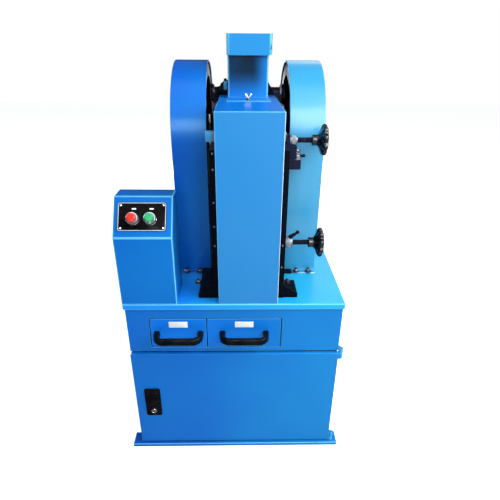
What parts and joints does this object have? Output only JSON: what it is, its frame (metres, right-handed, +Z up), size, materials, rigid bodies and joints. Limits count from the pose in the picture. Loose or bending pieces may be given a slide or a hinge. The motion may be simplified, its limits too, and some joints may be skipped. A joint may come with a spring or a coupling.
{
  "type": "laboratory jaw crusher",
  "caption": "Blue laboratory jaw crusher on a cabinet with sample drawers, feed hopper, wheel guards, hand screws and a push-button box.",
  "frame": {"origin": "on the floor, at the middle of the overall length and width", "axes": "+Z up, +X to the operator's right, +Y away from the operator who stands in front of the drawers"},
  "size_m": [0.656, 0.66, 1.187],
  "materials": {
    "blue_paint": "gloss enamel",
    "black_paint": "semi-gloss black paint",
    "black_iron": "black painted casting",
    "dark_steel": "dark oiled steel",
    "light_steel": "machined steel",
    "jaw_steel": "worn manganese steel",
    "chrome": "polished",
    "black_plate": "satin black panel",
    "black_plastic": "moulded black plastic",
    "red_plastic": "red push button",
    "green_plastic": "green push button"
  },
  "bodies": {
    "stand": {"foot_bars": "blue_paint", "left_wall": "blue_paint", "right_wall": "blue_paint", "back_wall": "blue_paint", "cabinet_floor": "blue_paint", "drawer_panel": "blue_paint", "drawer_deck": "blue_paint", "table_top": "blue_paint", "hinge_pivots": "blue_paint", "control_box": "blue_paint", "button_plate": "black_plate", "button_bezels": "chrome", "front_cover": "blue_paint", "wing_screw": "chrome", "hopper_neck": "blue_paint", "hopper_mouth": "blue_paint", "left_guard": "blue_paint", "right_guard": "blue_paint", "left_side_plate": "black_paint", "right_side_plate": "black_paint", "back_plate": "black_paint", "crusher_feet": "black_paint", "jaw_axle": "dark_steel", "jaw_head": "black_iron", "jaw_plates": "jaw_steel", "bearing_housings": "black_iron", "cross_bar": "light_steel", "clamp_bracket": "black_iron", "upper_boss": "light_steel", "lower_boss": "light_steel"},
    "door": {"cabinet_door": "blue_paint", "door_knuckles": "blue_paint", "door_lock": "black_plastic"},
    "left_drawer_body": {"left_drawer": "blue_paint", "left_handle": "black_plastic"},
    "right_drawer_body": {"right_drawer": "blue_paint", "right_handle": "black_plastic"},
    "stop_button": {"red_button": "red_plastic"},
    "start_button": {"green_button": "green_plastic"},
    "rotor": {"wheel_shaft": "dark_steel", "left_flywheel": "black_iron", "right_flywheel": "black_iron"},
    "upper_screw": {"upper_spindle": "dark_steel"},
    "upper_grip": {"upper_knob": "black_plastic"},
    "lower_screw": {"lower_spindle": "dark_steel"},
    "lower_grip": {"lower_knob": "black_plastic"}
  },
  "joints": [
    {"name": "door_swing", "type": "hinge", "parent": "stand", "child": "door", "pos_m": [0.3075, -0.2875, 0.19], "axis": [0, 0, 1], "range_deg": [0, 110]},
    {"name": "left_drawer_slide", "type": "slide", "parent": "stand", "child": "left_drawer_body", "axis": [0, -1, 0], "range_m": [0, 0.24]},
    {"name": "right_drawer_slide", "type": "slide", "parent": "stand", "child": "right_drawer_body", "axis": [0, -1, 0], "range_m": [0, 0.24]},
    {"name": "stop_press", "type": "slide", "parent": "stand", "child": "stop_button", "axis": [0, 0.8278, -0.5611], "range_m": [0, 0.004], "stiffness_N_per_m": 400, "springref_m": -0.002},
    {"name": "start_press", "type": "slide", "parent": "stand", "child": "start_button", "axis": [0, 0.8278, -0.5611], "range_m": [0, 0.004], "stiffness_N_per_m": 400, "springref_m": -0.002},
    {"name": "rotor_spin", "type": "hinge", "parent": "stand", "child": "rotor", "pos_m": [0.038, 0.108, 0.922], "axis": [1, 0, 0], "continuous": true},
    {"name": "upper_screw_travel", "type": "slide", "parent": "stand", "child": "upper_screw", "axis": [1, 0, 0], "range_m": [-0.0045, 0.0045]},
    {"name": "upper_screw_turn", "type": "hinge", "parent": "upper_screw", "child": "upper_grip", "pos_m": [0.2, -0.146, 0.941], "axis": [1, 0, 0], "range_deg": [-720, 720]},
    {"name": "lower_screw_travel", "type": "slide", "parent": "stand", "child": "lower_screw", "axis": [1, 0, 0], "range_m": [-0.0045, 0.0045]},
    {"name": "lower_screw_turn", "type": "hinge", "parent": "lower_screw", "child": "lower_grip", "pos_m": [0.2, -0.216, 0.683], "axis": [1, 0, 0], "range_deg": [-720, 720]}
  ],
  "couplings": [
    {"joint": "upper_screw_travel", "follows": "upper_screw_turn", "m_per_rad": 0.00031831},
    {"joint": "lower_screw_travel", "follows": "lower_screw_turn", "m_per_rad": 0.00031831}
  ]
}
